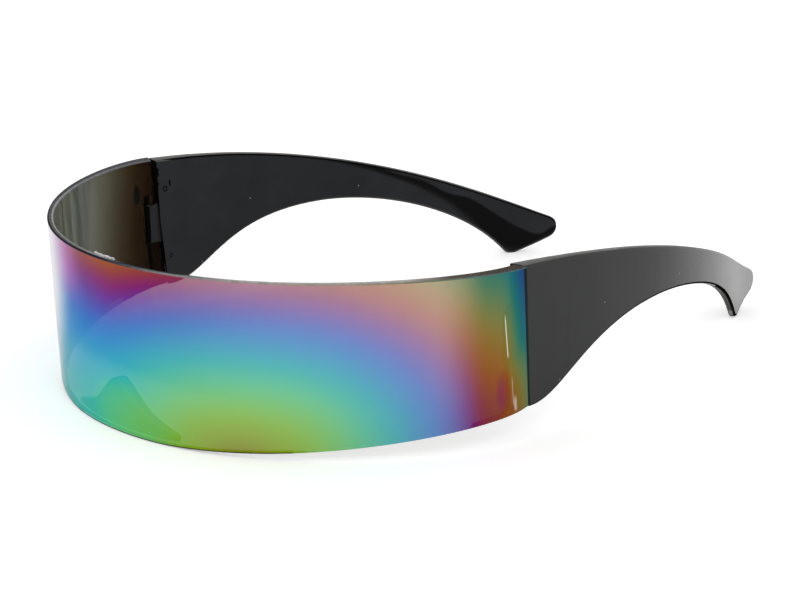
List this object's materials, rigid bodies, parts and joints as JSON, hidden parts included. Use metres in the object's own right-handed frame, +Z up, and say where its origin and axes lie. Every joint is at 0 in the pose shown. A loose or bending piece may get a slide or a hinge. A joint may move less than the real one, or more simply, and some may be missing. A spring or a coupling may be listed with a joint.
{
  "type": "visor sunglasses",
  "caption": "Wrap-around visor sunglasses: a one-piece mirrored lens band, a nose rest inside it, and temples that fold inward on hinges at its ends.",
  "frame": {"origin": "bottom centre of the open sunglasses, on the surface that they rest on, midway between the front of the lens band and the temple tips", "axes": "+Z up, the wearer looks along -Y, +X is the wearer's left"},
  "size_m": [0.1454, 0.182, 0.0419],
  "materials": {
    "mirror_lens": "rainbow mirror coat, slightly see-through, smoky inside",
    "nose_rest_plastic": "smooth dark moulded plastic",
    "temple_plastic": "satin black moulded plastic",
    "pin_steel": "plain steel"
  },
  "bodies": {
    "front": {"lens_shield": "mirror_lens", "nose_rest": "nose_rest_plastic", "hinge_pin_left": "pin_steel", "hinge_pin_right": "pin_steel"},
    "left_temple": {"temple_left": "temple_plastic"},
    "right_temple": {"temple_right": "temple_plastic"}
  },
  "joints": [
    {"name": "left_hinge", "type": "hinge", "parent": "front", "child": "left_temple", "pos_m": [0.06912, -0.02845, 0.02405], "axis": [0, 0, 1], "range_deg": [0, 72]},
    {"name": "right_hinge", "type": "hinge", "parent": "front", "child": "right_temple", "pos_m": [-0.06912, -0.02845, 0.02405], "axis": [0, 0, -1], "range_deg": [0, 90]}
  ]
}
